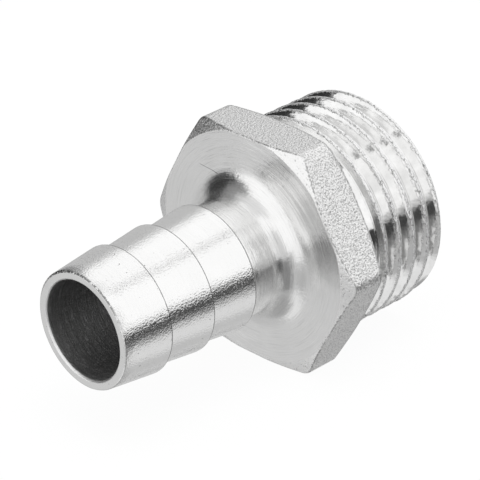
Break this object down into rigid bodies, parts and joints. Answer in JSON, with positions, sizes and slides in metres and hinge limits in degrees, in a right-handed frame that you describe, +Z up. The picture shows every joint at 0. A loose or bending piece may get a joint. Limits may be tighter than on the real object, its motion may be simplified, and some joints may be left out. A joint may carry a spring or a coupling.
{
  "type": "hose barb tail",
  "caption": "Plated brass hose tail: a barbed tube for a soft hose, a spanner hexagon and a male parallel pipe thread, bored right through.",
  "frame": {"origin": "on the axis of the fitting, in the plane of the shoulder where the hexagon ends and the threaded end begins", "axes": "+X along the axis, from the barbs to the threaded end; +Z up, square to the top flat of the hexagon, which lies on its bottom flat; +Y through a corner of the hexagon"},
  "size_m": [0.0346, 0.025, 0.022],
  "materials": {
    "nickel_plated_brass": "nickel plated, as turned"
  },
  "bodies": {
    "root": {"hose_tail": "nickel_plated_brass"}
  },
  "joints": []
}
